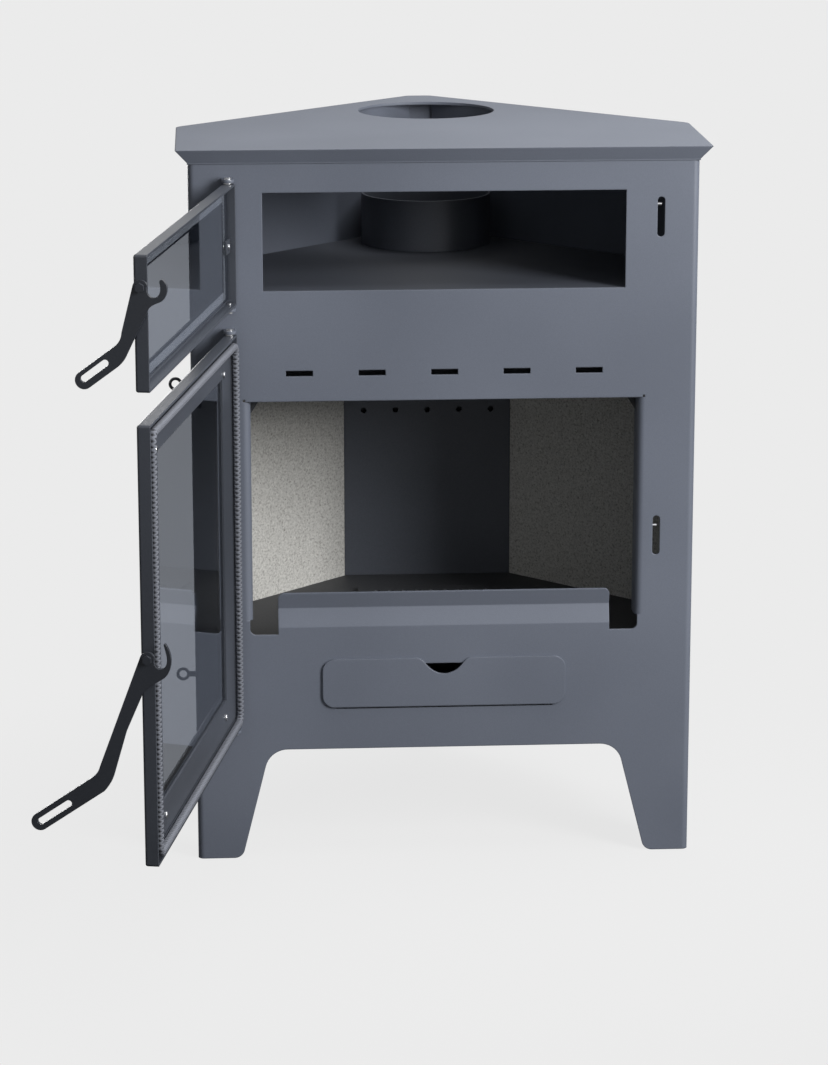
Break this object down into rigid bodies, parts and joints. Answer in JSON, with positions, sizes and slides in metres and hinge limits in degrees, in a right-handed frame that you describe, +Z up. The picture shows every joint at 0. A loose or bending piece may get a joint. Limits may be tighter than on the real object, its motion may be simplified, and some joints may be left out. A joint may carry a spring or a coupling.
{
  "type": "wood-burning stove",
  "caption": "Corner wood-burning stove in dark steel with an oven above a vermiculite-lined firebox, ash drawer, top flue and glazed, side-hinged doors standing open",
  "frame": {"origin": "centre of the flue spigot's upper rim", "axes": "+X to the stove's right as seen from the front, +Y towards the back corner, +Z up along the flue"},
  "size_m": [0.8662, 1.1278, 0.953],
  "materials": {
    "powder_coat": "fine-grained matte anthracite coating",
    "inner_steel": "matte heat-resistant dark steel",
    "grate_iron": "rough cast",
    "vermiculite": "pressed board with fine speckles",
    "zinc_steel": "bright zinc plate",
    "black_hardware": "satin dark coating",
    "fire_glass": "clear ceramic glass",
    "seal_rope": "braided glass-fibre rope"
  },
  "bodies": {
    "stove": {"top_plate": "powder_coat", "front_panel": "powder_coat", "left_casing": "powder_coat", "right_casing": "powder_coat", "rear_strip": "powder_coat", "foot_pads": "powder_coat", "bottom_plate": "powder_coat", "oven_floor": "inner_steel", "flue_spigot": "inner_steel", "hearth_plate": "inner_steel", "grate": "grate_iron", "firebox_back": "inner_steel", "rear_air_duct": "inner_steel", "left_firebrick": "vermiculite", "right_firebrick": "vermiculite", "lining_clips": "inner_steel", "baffle": "vermiculite", "air_duct": "inner_steel", "strip_guides": "inner_steel", "ash_chamber": "inner_steel", "catch_brackets": "inner_steel", "catch_pins": "zinc_steel", "hinge_ears": "powder_coat", "hinge_pins": "zinc_steel", "hinge_washers": "zinc_steel"},
    "ash_drawer": {"drawer_front": "powder_coat", "drawer_tray": "inner_steel"},
    "upper_air_slide": {"upper_air_pull": "black_hardware", "upper_air_strip": "inner_steel"},
    "lower_air_slide": {"lower_air_pull": "black_hardware", "lower_air_valve": "inner_steel"},
    "upper_door": {"upper_door_pan": "powder_coat", "upper_glass": "fire_glass", "upper_glass_seal": "seal_rope", "upper_glass_clips": "inner_steel", "upper_clip_screws": "zinc_steel", "upper_lever_bolt": "black_hardware", "upper_lever_washer": "zinc_steel", "upper_lever_nut": "zinc_steel"},
    "lower_door": {"lower_door_pan": "powder_coat", "rope_gasket": "seal_rope", "rope_seat": "inner_steel", "lower_glass": "fire_glass", "lower_glass_seal": "seal_rope", "glass_bars": "inner_steel", "bar_screws": "zinc_steel", "lower_lever_bolt": "black_hardware", "lower_lever_washer": "zinc_steel", "lower_lever_nut": "zinc_steel"},
    "upper_handle": {"upper_lever": "black_hardware"},
    "lower_handle": {"lower_lever": "black_hardware"}
  },
  "joints": [
    {"name": "upper_door_hinge", "type": "hinge", "parent": "stove", "child": "upper_door", "pos_m": [-0.2783, -0.4015, -0.008], "axis": [0, 0, -1], "range_deg": [-100.7, 19.3]},
    {"name": "lower_door_hinge", "type": "hinge", "parent": "stove", "child": "lower_door", "pos_m": [-0.2783, -0.4015, -0.389], "axis": [0, 0, -1], "range_deg": [-100.7, 19.3]},
    {"name": "upper_lever_pivot", "type": "hinge", "parent": "upper_door", "child": "upper_handle", "pos_m": [-0.38116, -0.94963, 0.0351], "axis": [0.1857, 0.9826, 0], "range_deg": [0, 60]},
    {"name": "lower_lever_pivot", "type": "hinge", "parent": "lower_door", "child": "lower_handle", "pos_m": [-0.38116, -0.94963, -0.3991], "axis": [0.1857, 0.9826, 0], "range_deg": [0, 60]},
    {"name": "drawer_slide", "type": "slide", "parent": "stove", "child": "ash_drawer", "axis": [0, -1, 0], "range_m": [0, 0.24]},
    {"name": "upper_air_control", "type": "slide", "parent": "stove", "child": "upper_air_slide", "axis": [-1, 0, 0], "range_m": [0, 0.036]},
    {"name": "lower_air_control", "type": "slide", "parent": "stove", "child": "lower_air_slide", "axis": [-1, 0, 0], "range_m": [0, 0.02]}
  ]
}
